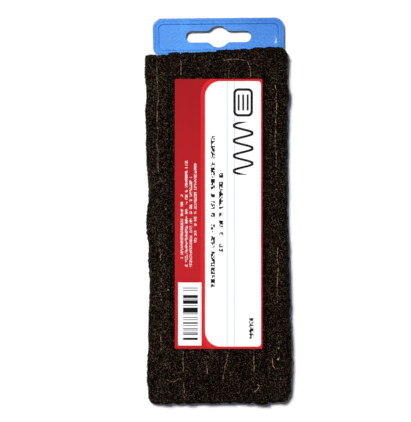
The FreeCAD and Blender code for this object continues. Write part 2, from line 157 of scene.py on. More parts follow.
def joined(parts):
    """Several (verts, faces) in one."""
    verts, faces, start = [], [], 0
    for some_verts, some_faces in parts:
        verts.append(some_verts)
        faces += [tuple(corner + start for corner in face) for face in some_faces]
        start += len(some_verts)
    return np.vstack(verts), faces


def grid(low, high, steps):
    """The x and the y of the points of a grid, row by row."""
    xs, ys = (np.linspace(low[k], high[k], steps[k] + 1) for k in (0, 1))
    grid_x, grid_y = np.meshgrid(xs, ys)
    return grid_x.ravel(), grid_y.ravel()


def sheet_mesh(x, y, top, bottom, steps):
    """Verts and faces of a thin closed sheet over a grid: top, underside and rim."""
    verts = np.vstack([np.column_stack([x, y, top]), np.column_stack([x, y, bottom])])
    across, along = steps
    row, count = across + 1, len(x)
    faces = []
    for j in range(along):
        for i in range(across):
            a = j * row + i
            faces.append((a, a + 1, a + 1 + row, a + row))
            faces.append((count + a + row, count + a + 1 + row, count + a + 1, count + a))
    rim = list(range(across))
    rim += [j * row + across for j in range(along)]
    rim += [along * row + i for i in range(across, 0, -1)]
    rim += [j * row for j in range(along, 0, -1)]
    for first, after in zip(rim, rim[1:] + rim[:1]):
        faces.append((first, count + first, count + after, after))
    return verts, faces


# -------- materials


def nodes_of(name):
    """A new material, its node tree and its Principled shader."""
    material = bpy.data.materials.new(name)
    material.use_nodes = True
    tree = material.node_tree
    shader = tree.nodes["Principled BSDF"]
    return material, tree, shader


def add(tree, kind, **settings):
    """A new node with its settings."""
    node = tree.nodes.new(kind)
    for key, value in settings.items():
        setattr(node, key, value)
    return node


def dial(node, **values):
    """Sets inputs of a node by name."""
    for key, value in values.items():
        node.inputs[key].default_value = value


def maths(tree, operation, *values):
    """The result of a sum with up to three numbers or sockets."""
    node = add(tree, "ShaderNodeMath", operation=operation)
    for socket, value in zip(node.inputs, values):
        if isinstance(value, (int, float)):
            socket.default_value = value
        else:
            tree.links.new(value, socket)
    return node.outputs[0]


def times(tree, first, second):
    """The product of two numbers or sockets."""
    return maths(tree, "MULTIPLY", first, second)


def parts_of(tree, vector):
    """The x, y and z of a vector."""
    apart = add(tree, "ShaderNodeSeparateXYZ")
    tree.links.new(vector, apart.inputs[0])
    return tuple(apart.outputs)


def texture_noise(tree, place, scale, detail=2.0, roughness=0.5, distortion=0.0):
    """A noise texture's value."""
    node = add(tree, "ShaderNodeTexNoise")
    tree.links.new(place, node.inputs["Vector"])
    dial(node, Scale=scale, Detail=detail, Roughness=roughness, Distortion=distortion)
    return node.outputs["Fac"]


def ramp(tree, value, stops):
    """A colour that runs through (place, colour) stops as the value grows."""
    node = add(tree, "ShaderNodeValToRGB")
    tree.links.new(value, node.inputs[0])
    elements = node.color_ramp.elements
    while len(elements) < len(stops):
        elements.new(0.5)
    for element, (place, colour) in zip(elements, stops):
        element.position = place
        element.color = (*colour, 1)
    return node.outputs[0]


def mix_colours(tree, share, first, second, blend="MIX"):
    """The first colour turned into the second by a share; all may be sockets."""
    node = add(tree, "ShaderNodeMix", data_type="RGBA", blend_type=blend)
    for index, value in ((0, share), (6, first), (7, second)):
        socket = node.inputs[index]
        if isinstance(value, (int, float)):
            socket.default_value = value
        elif isinstance(value, tuple):
            socket.default_value = (*value, 1)
        else:
            tree.links.new(value, socket)
    return node.outputs[2]


def bump(tree, shader, height, strength, distance, below=None):
    """Relief on a shader, on top of the relief below it if there is one."""
    node = add(tree, "ShaderNodeBump")
    dial(node, Strength=strength, Distance=distance)
    tree.links.new(height, node.inputs["Height"])
    if below is not None:
        tree.links.new(below, node.inputs["Normal"])
    tree.links.new(node.outputs[0], shader.inputs["Normal"])
    return node.outputs[0]


def finish(tree, shader, colour, roughness, specular):
    """A shader's colour, roughness and specular level."""
    tree.links.new(colour, shader.inputs["Base Color"])
    shader.inputs["Roughness"].default_value = roughness
    shader.inputs["Specular IOR Level"].default_value = specular


def object_place(tree):
    """The place on the eraser, in metres."""
    return add(tree, "ShaderNodeTexCoord").outputs["Object"]


def shade(red, green, blue):
    """A colour as a screen shows it, from 0 to 255, as linear light."""
    def linear(level):
        level /= 255
        return level / 12.92 if level <= 0.04045 else ((level + 0.055) / 1.055) ** 2.4
    return linear(red), linear(green), linear(blue)


def between(tree, value, low, high):
    """1 between two limits, and 0 elsewhere."""
    above = maths(tree, "GREATER_THAN", value, low)
    return times(tree, above, maths(tree, "LESS_THAN", value, high))


def box_mask(tree, u, v, left, right, low, high):
    """1 inside a rectangle, and 0 elsewhere."""
    return times(tree, between(tree, u, left, right), between(tree, v, low, high))


def felt_material(name, seed, painted_lightness):
    """Dark needled felt of mixed waste fibre: brown-black with paler specks, painted shade in the
    hollows of the nap, and a paleness that paints light onto the first strip.
    """
    material, tree, shader = nodes_of(name)
    # Each strip takes its felt from another part of the texture.
    shifted = add(tree, "ShaderNodeVectorMath", operation="ADD")
    tree.links.new(object_place(tree), shifted.inputs[0])
    shifted.inputs[1].default_value = (seed * 0.37, seed * 0.11, 0)
    place = shifted.outputs[0]
    nap = texture_noise(tree, place, 1350, detail=3.0, roughness=0.75, distortion=0.8)
    # The nap noise that lowers the bump also sets the colour: its lows are the felt's own dark
    # fibre and also painted shade in the hollows between tufts.
    colour = ramp(tree, nap, [
        (0.42, shade(2, 0, 0)),
        (0.50, shade(8, 3, 1)),
        (0.56, shade(24, 18, 13)),
        (0.66, shade(98, 83, 67)),
    ])
    tint = texture_noise(tree, place, 620, roughness=0.6).node.outputs["Color"]
    hue = mix_colours(tree, 0.42, colour, tint, "SOFT_LIGHT")
    patches = texture_noise(tree, place, 70)
    # Painted light: the paleness raises the felt's tone, which paints the first strip paler.
    depth = maths(tree, "MULTIPLY_ADD", patches, 0.5, 0.68 * painted_lightness)
    shaded = mix_colours(tree, 1.0, hue, depth, "MULTIPLY")
    specks = texture_noise(tree, place, 2100, detail=1.0)
    rare = ramp(tree, specks, [(0.70, (0, 0, 0)), (0.78, (1, 1, 1))])
    final = mix_colours(tree, rare, shaded, shade(112, 98, 78))
    finish(tree, shader, final, roughness=1.0, specular=0.005)
    coarse = bump(tree, shader, nap, 0.9, 0.7 * MM)
    fine = texture_noise(tree, place, 3200)
    bump(tree, shader, fine, 0.6, 0.25 * MM, below=coarse)
    return material


def fibre_material(name, dark, pale):
    """Dull loose fibre between a dark and a pale tone."""
    material, tree, shader = nodes_of(name)
    mix = texture_noise(tree, object_place(tree), 260)
    colour = ramp(tree, mix, [(0.38, dark), (0.62, pale)])
    finish(tree, shader, colour, roughness=0.9, specular=0.02)
    return material


def thread_material(name, dark, pale):
    """Spun cotton thread with fine ridges, and with dirt from the felt."""
    material, tree, shader = nodes_of(name)
    place = object_place(tree)
    dirt = texture_noise(tree, place, 1250)
    colour = ramp(tree, dirt, [(0.46, dark), (0.56, pale)])
    finish(tree, shader, colour, roughness=0.85, specular=0.2)
    twist = add(tree, "ShaderNodeTexWave", bands_direction="DIAGONAL")
    dial(twist, Scale=900)
    tree.links.new(place, twist.inputs["Vector"])
    bump(tree, shader, twist.outputs["Fac"], 0.5, 0.08 * MM)
    return material


# A painted highlight, a pale streak near the right edge of the tab: its left, right, low and high
# sides.
PAINTED_HIGHLIGHT_STREAK = (28.5 * MM, 29.6 * MM, 81.4 * MM, 86.0 * MM)
# Painted light: how much paler the plastic is painted for each metre to the left, as light falling
# from the left.
LEFTWARD_PAINTED_LIGHT = 3.2


def plastic_material():
    """Blue moulded polypropylene: satin gloss, a fine mould grain and faint flow marks, with
    painted light paling it to the left and a painted highlight streak near the tab's right edge.
    """
    material, tree, shader = nodes_of("moulded_blue")
    place = object_place(tree)
    flow = texture_noise(tree, place, 22, detail=3.0, distortion=0.8)
    grain = texture_noise(tree, place, 1300)
    x, y, _ = parts_of(tree, place)
    # Painted light: the colour is made paler towards the left.
    across = times(tree, x, -LEFTWARD_PAINTED_LIGHT)
    mottle = maths(tree, "MULTIPLY_ADD", grain, 0.45, flow)
    tone = maths(tree, "SUBTRACT", maths(tree, "ADD", mottle, across), 0.225)
    colour = ramp(tree, tone, [
        (0.28, shade(62, 130, 214)),
        (0.50, shade(78, 147, 231)),
        (0.72, shade(94, 168, 246)),
    ])
    # Painted highlight: a pale streak near the tab's right edge, broken up by noise.
    highlight_streak = box_mask(tree, x, y, *PAINTED_HIGHLIGHT_STREAK)
    highlight_breakup = texture_noise(tree, place, 640)
    painted_highlight = ramp(tree, highlight_breakup, [(0.44, (0, 0, 0)), (0.60, (0.75, 0.75, 0.75))])
    painted_highlight = times(tree, highlight_streak, painted_highlight)
    colour = mix_colours(tree, painted_highlight, colour, shade(196, 218, 246))
    tree.links.new(colour, shader.inputs["Base Color"])
    rough = maths(tree, "MULTIPLY_ADD", grain, 0.10, 0.22)
    tree.links.new(rough, shader.inputs["Roughness"])
    shader.inputs["Specular IOR Level"].default_value = 0.5
    shader.inputs["Subsurface Weight"].default_value = 0.08
    shader.inputs["Subsurface Radius"].default_value = (0.6, 0.8, 1.2)
    shader.inputs["Subsurface Scale"].default_value = 0.8 * MM
    low = bump(tree, shader, flow, 0.25, 0.4 * MM)
    bump(tree, shader, grain, 0.25, 0.03 * MM, below=low)
    return material


def glue_material():
    """Cloudy yellowed hot-melt glue."""
    material, tree, shader = nodes_of("hot_melt")
    cloud = texture_noise(tree, object_place(tree), 120, detail=3.0)
    colour = ramp(tree, cloud, [(0.3, shade(196, 178, 132)), (0.7, shade(226, 212, 172))])
    finish(tree, shader, colour, roughness=0.35, specular=0.5)
    shader.inputs["Subsurface Weight"].default_value = 0.2
    shader.inputs["Subsurface Scale"].default_value = 1.5 * MM
    bump(tree, shader, cloud, 0.4, 0.5 * MM)
    return material


def cloth_material():
    """A plain weave in dark grey-brown yarn."""
    material, tree, shader = nodes_of("woven_base")
    place = object_place(tree)
    waves = []
    for direction in ("X", "Y"):
        wave = add(tree, "ShaderNodeTexWave", bands_direction=direction, wave_profile="SIN")
        dial(wave, Scale=210, Distortion=0.6)
        tree.links.new(place, wave.inputs["Vector"])
        waves.append(wave.outputs["Fac"])
    weave = times(tree, waves[0], waves[1])
    colour = ramp(tree, weave, [(0.0, shade(18, 14, 12)), (0.6, shade(62, 54, 46))])
    finish(tree, shader, colour, roughness=0.95, specular=0.1)
    bump(tree, shader, weave, 0.8, 0.3 * MM)
    return material


# -------- felt strips

STRIP_SLIT = 0.5 * MM
EYE_RADIUS = 0.7 * MM
EYE_BELOW_CREST = 5.5 * MM
CREST_BEND = 2.2 * MM
FOLD_DEPTH = 3.0 * MM
LEG_STEPS = 17
BEND_STEPS = 32
STATION = 0.5 * MM
SKIN_LAYERS = 6
HALF_GAP = 0.02 * MM
# Painted light: the first strip, on the left, is painted paler, as light falling from the left.
LEFT_PAINTED_LIGHT = 1.3

BLOCK_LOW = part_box("felt_pleat_1")[0]
BLOCK_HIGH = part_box(f"felt_pleat_{STRIPS}")[1]
CREST = BLOCK_HIGH[2]

# The felt is pressed down to a gap under the label, and in a margin round it.
LABEL_LOW, LABEL_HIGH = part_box("label")
LABEL_MARGIN = 0.3 * MM
PRESSED_GAP = 0.12 * MM

# Bulges of the two outer faces, as (share of the length from the foot, push outwards in mm).
LEFT_WAVES = (
    (0, -0.4), (0.09, 0.4), (0.17, -0.3), (0.24, -0.8), (0.33, -1.6), (0.43, -1.4),
    (0.51, 0.1), (0.60, -1.5), (0.7, -0.2), (0.83, -0.2), (0.87, -0.8), (0.92, 0.1), (1, -0.2),
)
RIGHT_WAVES = (
    (0, -1.6), (0.04, -0.5), (0.1, 0.2), (0.16, 0), (0.25, -0.7), (0.33, -0.7), (0.42, -1.2),
    (0.6, -1.6), (0.74, -1.4), (0.82, -0.6), (0.865, 0.3), (0.9, -0.9), (1, -0.1),
)

# Layers of noise, as (height, size) in mm and seed: the outer faces, the lines between two strips,
# the cut ends, the nap, and what the open sides of the two outer strips have on top of it.
FACE_SWAY = ((0.25, 9, 5),)
BORDER_SWAY = ((0.5, 31, 10), (0.3, 8, 30))
RAGGED_END = ((0.9, 5.0, 210), (0.45, 2.0, 230))
NAP = ((0.18, 6.0, 40), (0.15, 1.7, 60), (0.32, 0.85, 80))
OPEN_SIDE = ((0.35, 2.6, 270), (0.3, 1.2, 290))

# The two outer strips: number, side, and how many mm their outer corners are worn back at the
# foot and at the hook end.
OUTER_CORNERS = ((1, -1, 2.6, 1.0), (STRIPS, 1, 2.6, 4.0))
# How far in the wear of the cut ends reaches, what they lose in mm, and how their edges ease.
END_REACH = 7 * MM
FOOT_TRIM, HOOK_TRIM = 0.7, 0.15
SIDE_EASE, CREST_EASE = 0.08 * MM, 0.35 * MM
# Shares of a strip's half width: where its sides begin, and how far the slit's surroundings go;
# and the share of the nap that grows in there.
SIDES_BEGIN, SLIT_REACH, SLIT_NAP = 0.9, 0.4, 0.15


def gentle(share, points):
    """A smooth run through a few (share, value) points."""
    places, values = (np.array(row, float) for row in zip(*points))
    index = np.clip(np.searchsorted(places, share) - 1, 0, len(places) - 2)
    part = np.clip((share - places[index]) / (places[index + 1] - places[index]), 0, 1)
    ease = part * part * (3 - 2 * part)
    return values[index] * (1 - ease) + values[index + 1] * ease


def border(index, y):
    """The x of the line between two strips; the first and the last are the outer faces."""
    share = (y - BLOCK_LOW[1]) / (BLOCK_HIGH[1] - BLOCK_LOW[1])
    if index == 0:
        wave = layered(wander, y, 0, FACE_SWAY) - gentle(share, LEFT_WAVES)
        return BLOCK_LOW[0] + wave * MM
    if index == STRIPS:
        wave = layered(wander, y, 1, FACE_SWAY) + gentle(share, RIGHT_WAVES)
        return BLOCK_HIGH[0] + wave * MM
    middle = (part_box(f"felt_pleat_{index}")[1][0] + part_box(f"felt_pleat_{index + 1}")[0][0]) / 2
    return middle + layered(wander, y, index, BORDER_SWAY) * MM


def across_strip(number, share, y):
    """The x at a share of a strip's half width, from -1 at its left side to 1 at its right."""
    left, right = border(number - 1, y) + HALF_GAP, border(number, y) - HALF_GAP
    return (left + right) / 2 + share * (right - left) / 2


def sway_share(height):
    """How much of its wave a strip has at a share of its height: the glued foot has the least."""
    return np.clip(0.6 + 0.8 * height, 0, 1)


def slit_sway(number, y):
    """How far the slit of a folded strip wanders from side to side."""
    return 1.2 * MM * wander(y, 12 * MM, 250 + number)


def fold_lines(width, height):
    """The outer and the inner line of a folded strip, as matching rows of (x, z)."""
    half = width / 2
    leg_height, eye_height = height - CREST_BEND, height - EYE_BELOW_CREST
    mouth = math.asin(STRIP_SLIT / 2 / EYE_RADIUS)
    eye_foot = eye_height - EYE_RADIUS * math.cos(mouth)
    leg = np.linspace(0, 1, LEG_STEPS, endpoint=False)
    outer_leg = np.column_stack([np.full(LEG_STEPS, -half), leg * leg_height])
    inner_leg = np.column_stack([np.full(LEG_STEPS, -STRIP_SLIT / 2), leg * eye_foot])
    bend_run = CREST_BEND * math.pi / 2
    flat_run = width - 2 * CREST_BEND
    crest, eye = [], []
    for share in np.linspace(0, 1, BEND_STEPS):
        run = share * (2 * bend_run + flat_run)
        if run < bend_run:
            turn = run / CREST_BEND
            x = CREST_BEND * (1 - math.cos(turn)) - half
            z = leg_height + CREST_BEND * math.sin(turn)
        elif run <= bend_run + flat_run:
            x = CREST_BEND + run - bend_run - half
            z = height
        else:
            turn = (run - bend_run - flat_run) / CREST_BEND
            x = half - CREST_BEND * (1 - math.sin(turn))
            z = leg_height + CREST_BEND * math.cos(turn)
        crest.append((x, z))
        angle = math.pi * 1.5 - mouth - share * (2 * math.pi - 2 * mouth)
        eye.append((EYE_RADIUS * math.cos(angle), eye_height + EYE_RADIUS * math.sin(angle)))
    mirror = np.array([-1, 1])
    outer = np.vstack([outer_leg, crest, (outer_leg * mirror)[::-1]])
    inner = np.vstack([inner_leg, eye, (inner_leg * mirror)[::-1]])
    return outer, inner


def section_ring(count):
    """The points round a section, as (layer, step along the fold)."""
    ring = [(0, step) for step in range(count)]
    ring += [(layer, count - 1) for layer in range(1, SKIN_LAYERS)]
    ring += [(SKIN_LAYERS, step) for step in range(count - 1, -1, -1)]
    ring += [(layer, 0) for layer in range(SKIN_LAYERS - 1, 0, -1)]
    return ring


def cut_end(ring, count, first_on_ring, first_inside, flip):
    """The points inside a cut end, as (layer, step), and the faces of the whole end."""
    index = {key: first_on_ring + k for k, key in enumerate(ring)}
    keys = [(layer, step) for layer in range(SKIN_LAYERS + 1) for step in range(count)]
    inside = [key for key in keys if key not in index]
    index.update({key: first_inside + k for k, key in enumerate(inside)})
    faces = []
    for layer in range(SKIN_LAYERS):
        for step in range(count - 1):
            square = ((0, 0), (0, 1), (1, 1), (1, 0))
            face = [index[layer + up, step + on] for up, on in square]
            faces.append(face[::-1] if flip else face)
    return inside, faces


def strip_mesh(low, high):
    """A closed mesh of a folded strip: skins inside and outside, feet and both cut ends."""
    width, length, height = high[0] - low[0], high[1] - low[1], high[2] - low[2]
    middle_x = (low[0] + high[0]) / 2
    outer, inner = fold_lines(width, height)
    layers = np.linspace(0, 1, SKIN_LAYERS + 1)[:, None, None]
    section = outer * (1 - layers) + inner * layers

    def place(keys, span):
        """Some points of the section at a share of the length, with eased ends."""
        flat = np.array([section[key] for key in keys])
        beside = np.abs(flat[:, 0]) / (width / 2)
        top = np.clip((flat[:, 1] - (height - CREST_BEND)) / CREST_BEND, 0, 1)
        back = SIDE_EASE * beside**6 + CREST_EASE * top**2
        y = low[1] + back + span * (length - 2 * back)
        return np.column_stack([middle_x + flat[:, 0], y, low[2] + flat[:, 1]])

    ring = section_ring(len(outer))
    size = len(ring)
    stations = int(round(length / STATION))
    verts = [place(ring, span) for span in np.linspace(0, 1, stations + 1)]
    first = (np.arange(stations) * size)[:, None]
    here = np.arange(size)[None, :]
    after = (here + 1) % size
    corners = (first + after, first + here, first + size + here, first + size + after)
    faces = np.stack(corners, axis=-1).reshape(-1, 4).tolist()
    start = size * (stations + 1)
    for station, span, flip in ((0, 0.0, False), (stations, 1.0, True)):
        inside, end_faces = cut_end(ring, len(outer), station * size, start, flip)
        verts.append(place(inside, span))
        faces += end_faces
        start += len(inside)
    return np.vstack(verts), faces


def under_label(x, y):
    """Whether points lie under the label or just beside it."""
    beside = (x > LABEL_LOW[0] - LABEL_MARGIN) & (x < LABEL_HIGH[0] + LABEL_MARGIN)
    return beside & (y > LABEL_LOW[1] - LABEL_MARGIN) & (y < LABEL_HIGH[1] + LABEL_MARGIN)


def end_shift(number, aside, places):
    """How far points near the cut ends move: the ends are ragged and their outer corners worn."""
    low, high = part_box(f"felt_pleat_{number}")
    y = places[:, 1]
    at_hook_end = y > (low[1] + high[1]) / 2
    from_end = np.minimum(y - low[1], high[1] - y)
    near_end = np.clip(1 - from_end / END_REACH, 0, 1) ** 2
    ragged = layered(noise, places * np.array([1, 0, 1]), number, RAGGED_END)
    for outer, side, foot_worn, hook_worn in OUTER_CORNERS:
        if number == outer:
            worn = np.where(at_hook_end, hook_worn, foot_worn)
            ragged = ragged - worn * np.maximum(aside * side, 0) ** 5
    growth = (ragged - np.where(at_hook_end, HOOK_TRIM, FOOT_TRIM)) * near_end * MM
    return np.where(at_hook_end, growth, -growth)


def nap(piece, number):
    """Gives a strip its wavy run and its nap, and presses it flat under the label."""
    places = rows_of(piece.data.vertices, "co")
    ways = rows_of(piece.data.vertex_normals, "vector")
    low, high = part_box(f"felt_pleat_{number}")
    middle, half = (low[0] + high[0]) / 2, (high[0] - low[0]) / 2
    rise = sway_share((places[:, 2] - low[2]) / (high[2] - low[2]))
    aside = (places[:, 0] - middle) / half
    at_left, at_right = aside < -SIDES_BEGIN, aside > SIDES_BEGIN
    below_fold = places[:, 2] < high[2] - FOLD_DEPTH
    inside = (np.abs(aside) < SLIT_REACH) & below_fold
    beside_another = (at_left & (number > 1)) | (at_right & (number < STRIPS))
    pressed_together = beside_another & (places[:, 2] < high[2] - CREST_BEND)
    grown = np.where(pressed_together, 0.0, np.where(inside, SLIT_NAP, 1.0))
    near_slit = np.clip(1.3 - 2 * np.abs(aside), 0, 1) * below_fold
    places[:, 0] += slit_sway(number, places[:, 1]) * near_slit
    left, right = (across_strip(number, side, places[:, 1]) for side in (-1, 1))
    places[:, 0] += (across_strip(number, aside, places[:, 1]) - places[:, 0]) * rise
    places[:, 1] += end_shift(number, aside, places)
    height = layered(noise, places, number, NAP)
    open_side = (at_left & (number == 1)) | (at_right & (number == STRIPS))
    height = height + layered(noise, places, number, OPEN_SIDE) * open_side
    places = places + ways * (height * MM * grown)[:, None]
    if number > 1:
        places[:, 0] = np.maximum(places[:, 0], left)
    if number < STRIPS:
        places[:, 0] = np.minimum(places[:, 0], right)
    limit = LABEL_LOW[2] - PRESSED_GAP
    pressed = under_label(places[:, 0], places[:, 1]) & (places[:, 2] > limit)
    places[:, 2] = np.where(pressed, limit, places[:, 2])
    piece.data.vertices.foreach_set("co", places.ravel())
    piece.data.update()


for number in range(1, STRIPS + 1):
    node = f"felt_pleat_{number}"
    verts, faces = strip_mesh(*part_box(node))
    strip = new_piece(f"napped_strip_{number}", verts, faces, node, "felt")
    nap(strip, number)
    # Painted light: the first strip, on the left, is painted paler.
    painted_lightness = LEFT_PAINTED_LIGHT if number == 1 else 1.0
    strip.data.materials.append(felt_material(f"felt_{number}", number, painted_lightness))

# -------- threads

CREST_THREAD = thread_material("crest_thread", shade(56, 44, 32), shade(180, 154, 121))
SEAM_THREAD = thread_material("seam_thread", shade(20, 16, 13), shade(60, 50, 42))

THREAD_RADIUS = 0.11 * MM
PLY_RADIUS = 0.13 * MM
PLY_REACH = 0.11 * MM
TWIST_RUN = 1.1 * MM

# Where each crest thread comes out of the nap, as shares of the length from the hook end.
SHOWING = (
    ((-0.02, 0.34), (0.55, 0.60), (0.81, 0.86)),
    ((-0.02, 0.09), (0.84, 0.93), (0.95, 1.02)),
    ((0.90, 0.93),),
    ((0.03, 0.09), (0.85, 0.96)),
    ((0.07, 0.10), (0.86, 0.93)),
    ((0.08, 0.34), (0.56, 0.73)),
)

# How far each crest thread drifts from the middle of its strip, in mm, on its way to the foot.
FOOT_DRIFT = (0, 0, -0.6, -4.0, -1.2, 0)
DRIFT_FROM, DRIFT_RUN = 0.84, 0.1

# Layers of noise, as (height, size) in mm and seed: how crest threads stray sideways, how they
# rise and sink, and how loose ends do.
STRAY = ((0.5, 17, 100), (0.4, 5.5, 105), (0.25, 1.9, 110))
RISE = ((0.36, 3.1, 120), (0.40, 0.8, 140))
CURL = ((0.2, 2.2, 180), (0.35, 0.8, 185))
# The height of a crest thread in mm where it hides and shows, and the share it changes over.
HIDDEN, SHOWN = -0.5, 0.47
SHOWING_EDGE = 0.01


def crest_thread(number):
    """The pale thread along a crest: it wanders, dips into the nap and comes out again."""
    node = f"crest_thread_{number}"
    low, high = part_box(node)
    y = np.arange(low[1], high[1], 0.3 * MM)
    share = (high[1] - y) / (high[1] - low[1])
    drift = FOOT_DRIFT[number - 1] * np.clip((share - DRIFT_FROM) / DRIFT_RUN, 0, 1)
    x = across_strip(number, 0.0, y) + (drift + layered(wander, y, number, STRAY)) * MM
    lift = np.full(len(y), HIDDEN)
    for first, last in SHOWING[number - 1]:
        runs = (share - first, last - share)
        begun, left = (np.clip(run / SHOWING_EDGE, 0, 1) for run in runs)
        lift = np.maximum(lift, HIDDEN + (SHOWN - HIDDEN) * begun * left)
    z = high[2] + (lift + layered(wander, y, number, RISE)) * MM
    z = np.where(under_label(x, y), np.minimum(z, LABEL_LOW[2] - 0.3 * MM), z)
    radii = THREAD_RADIUS + 0.04 * MM * wander(y, 1.1 * MM, 160 + number)
    verts, faces = tube(np.column_stack([x, y, z]), radii)
    piece = new_piece(f"loose_row_{number}", verts, faces, node, "crest_thread")
    piece.data.materials.append(CREST_THREAD)


def seam_thread(number):
    """Two plies twisted together, deep in the slit."""
    node = f"seam_thread_{number}"
    low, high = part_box(node)
    y = np.arange(low[1], high[1], 0.9 * MM)
    strip_low, strip_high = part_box(f"felt_pleat_{number}")
    straight_x, centre_z = (low[0] + high[0]) / 2, (low[2] + high[2]) / 2
    rise = sway_share((centre_z - strip_low[2]) / (strip_high[2] - strip_low[2]))
    sway = (across_strip(number, 0.0, y) - straight_x) * rise + slit_sway(number, y)
    plies = []
    for phase in (0, math.pi):
        turn = y / TWIST_RUN + phase
        x = straight_x + sway + PLY_REACH * np.cos(turn)
        z = centre_z + PLY_REACH * np.sin(turn)
        plies.append(tube(np.column_stack([x, y, z]), PLY_RADIUS, sides=5))
    verts, faces = joined(plies)
    piece = new_piece(f"twisted_seam_{number}", verts, faces, node, "seam_thread")
    piece.data.materials.append(SEAM_THREAD)


for number in range(1, STRIPS + 1):
    crest_thread(number)
    seam_thread(number)

# Ends of thread that have worked loose, as (x, y) points in mm on top of the nap.
LOOSE_ENDS = (
    ((2.4, 73.6), (8.0, 74.2), (11.9, 73.9), (14.8, 72.9), (16.3, 69.9), (16.5, 65.3)),
    ((18.4, -84.9), (19.2, -85.9), (17.9, -87.9), (16.7, -88.6)),
    ((25.7, -72.3), (25.9, -73.8), (26.1, -75.7), (27.1, -77.2), (29.0, -77.4)),
    ((-25.9, -82.4), (-22.5, -83.2), (-19.8, -81.9), (-18.0, -82.8)),
)


def curve_through(corners, steps):
    """A smooth curve through the corners, with some points from each to the next."""
    ends = np.vstack([2 * corners[0] - corners[1], corners, 2 * corners[-1] - corners[-2]])
    t = np.linspace(0, 1, steps, endpoint=False)[:, None]
    spans = []
    for before, start, end, after in zip(ends, ends[1:], ends[2:], ends[3:]):
        bend = 2 * before - 5 * start + 4 * end - after
        twist = 3 * (start - end) + after - before
        spans.append(start + 0.5 * t * (end - before + t * (bend + t * twist)))
    return np.vstack(spans)


def loose_end(number, corners):
    """One loose end of crest thread that lies curled on the nap."""
    flat = curve_through(np.array(corners) * MM, 16)
    along = np.arange(len(flat)) * 0.2 * MM
    lift = 0.5 + layered(wander, along, number, CURL)
    path = np.column_stack([flat, CREST + lift * MM])
    path = path + 0.12 * MM * noise(path, 1.1 * MM, 190 + number)[:, None]
    verts, faces = tube(path, THREAD_RADIUS)
    piece = new_piece(f"loose_end_{number}", verts, faces, None, "crest_thread")
    piece.data.materials.append(CREST_THREAD)


for number, corners in enumerate(LOOSE_ENDS, 1):
    loose_end(number, corners)

# Specks of pale lint on the nap: (x, y) and length in mm, and heading in degrees.
LINT = (
    (28.6, -72.8, 0.9, 20), (28.9, -67.4, 0.6, 60),
    (-24.8, -38.3, 0.5, 100), (-25.6, 1.2, 0.5, 40),
)
PALE_LINT = fibre_material("pale_lint", shade(176, 160, 138), shade(236, 228, 214))


def lint_speck(number, x, y, length, heading):
    """One short tuft of pale fibre caught in the nap."""
    along = np.linspace(-0.5, 0.5, 7) * length * MM
    turn = math.radians(heading)
    path = np.column_stack([
        x * MM + along * math.cos(turn),
        y * MM + along * math.sin(turn),
        CREST + 0.25 * MM - 0.6 * np.abs(along),
    ])
    radii = 0.24 * MM * np.sqrt(1.05 - (2 * along / (length * MM)) ** 2)
    verts, faces = tube(path, radii)
    piece = new_piece(f"lint_speck_{number}", verts, faces, None, "felt")
    piece.data.materials.append(PALE_LINT)


for number, speck in enumerate(LINT, 1):
    lint_speck(number, *speck)

# -------- fuzz

FUZZ_PER_STRIP = 6800
FUZZ_LINKS = 4
FIBRE_SIDES = 3
# A direction that no fibre runs in.
UNLIKE_FIBRES = (0.13, 0.21, 0.97)
ROOT_INSET, END_INSET = 0.3 * MM, 0.35 * MM
# Of fibres with a value from 0 to 1, those above these grow at the cut ends, on the open sides,
# and high on the open sides.
ENDS_FROM, SIDES_FROM, HIGH_SIDES_FROM = 0.93, 0.70, 0.80
# Each tone of fibre: name, dark, pale, and its shares on the crests and on the open sides; the
# shares of the open sides are paler, as painted light that shows on the lit left side, and most of
# the first strip takes them too as painted light.
FUZZ_TONES = (
    ("black", (4, 1, 0), (16, 10, 6), 0.54, 0.26),
    ("brown", (56, 38, 26), (94, 71, 53), 0.15, 0.26),
    ("olive", (47, 47, 26), (88, 87, 57), 0.11, 0.16),
    ("plum", (51, 35, 43), (94, 72, 84), 0.10, 0.08),
    ("tan", (82, 71, 57), (122, 110, 94), 0.06, 0.18),
    ("grey", (74, 70, 74), (128, 122, 124), 0.04, 0.06),
)
FUZZ = [
    fibre_material(f"fuzz_{name}", shade(*dark), shade(*pale))
    for name, dark, pale, _, _ in FUZZ_TONES
]
CREST_SHARES, SIDE_PAINTED_LIGHT_SHARES = zip(*(tone[3:] for tone in FUZZ_TONES))


def fibre_roots(number, dice):
    """Where the fibres of a strip grow, and which of them grow on an open side."""
    low, high = (np.array(corner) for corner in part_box(f"felt_pleat_{number}"))
    count = FUZZ_PER_STRIP
    start = dice.uniform(low + ROOT_INSET, high - ROOT_INSET, (count, 3))
    kind = dice.random(count)
    aside = dice.uniform(-1, 1, count)
    at_hook_end = dice.random(count) > 0.5
    ends = kind > ENDS_FROM
    sides = (kind > SIDES_FROM) & ~ends & (number in (1, STRIPS))
    crest = high[2] - 0.9 * MM * np.abs(aside) ** 6
    shoulder = high[2] - (0.6 + 2.4 * np.abs(aside)) * MM
    start[:, 2] = np.where(ends | sides, start[:, 2], crest)
    start[:, 2] = np.where(sides & (kind > HIGH_SIDES_FROM), shoulder, start[:, 2])
    ends_y = np.where(at_hook_end, high[1] - END_INSET, low[1] + END_INSET)
    start[:, 1] = np.where(ends, ends_y, start[:, 1])
    share = np.where(sides, -1.0 if number == 1 else 1.0, aside * 0.97)
    straight_x = (low[0] + high[0]) / 2 + share * (high[0] - low[0]) / 2
    sway = across_strip(number, share, start[:, 1]) - straight_x
    start[:, 0] = straight_x + sway * sway_share((start[:, 2] - low[2]) / (high[2] - low[2]))
    start[:, 1] += end_shift(number, share, start)
    return start, sides


